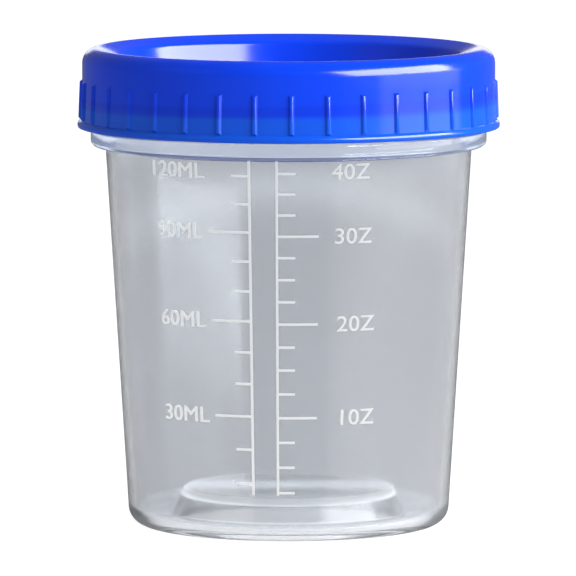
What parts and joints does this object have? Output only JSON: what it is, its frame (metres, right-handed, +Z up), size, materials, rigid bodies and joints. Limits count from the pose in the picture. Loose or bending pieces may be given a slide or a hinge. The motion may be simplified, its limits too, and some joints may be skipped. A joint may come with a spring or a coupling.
{
  "type": "screw-lid specimen cup",
  "caption": "Translucent tapered specimen cup with raised volume graduations and a ribbed screw lid that lifts as it turns.",
  "frame": {"origin": "centre of the base on the surface the cup stands on", "axes": "+Z up along the cup's axis; the graduations face -Y"},
  "size_m": [0.066, 0.066, 0.0748],
  "materials": {
    "cup_translucent": "natural translucent polypropylene, satin moulded",
    "lid_blue": "saturated blue polyethylene, smooth with soft gloss",
    "liner_white": "matt foamed polyethylene"
  },
  "bodies": {
    "cup": {"cup": "cup_translucent"},
    "liner_ring": {"liner_ring": "liner_white"},
    "lid": {"lid": "lid_blue"}
  },
  "joints": [
    {"name": "lid_lift", "type": "slide", "parent": "cup", "child": "liner_ring", "axis": [0, 0, 1], "range_m": [0, 0.0105]},
    {"name": "lid_turn", "type": "hinge", "parent": "liner_ring", "child": "lid", "pos_m": [0, 0, 0.0624], "axis": [0, 0, 1], "range_deg": [0, 900]}
  ],
  "couplings": [
    {"joint": "lid_lift", "follows": "lid_turn", "m_per_rad": 0.00066845}
  ]
}
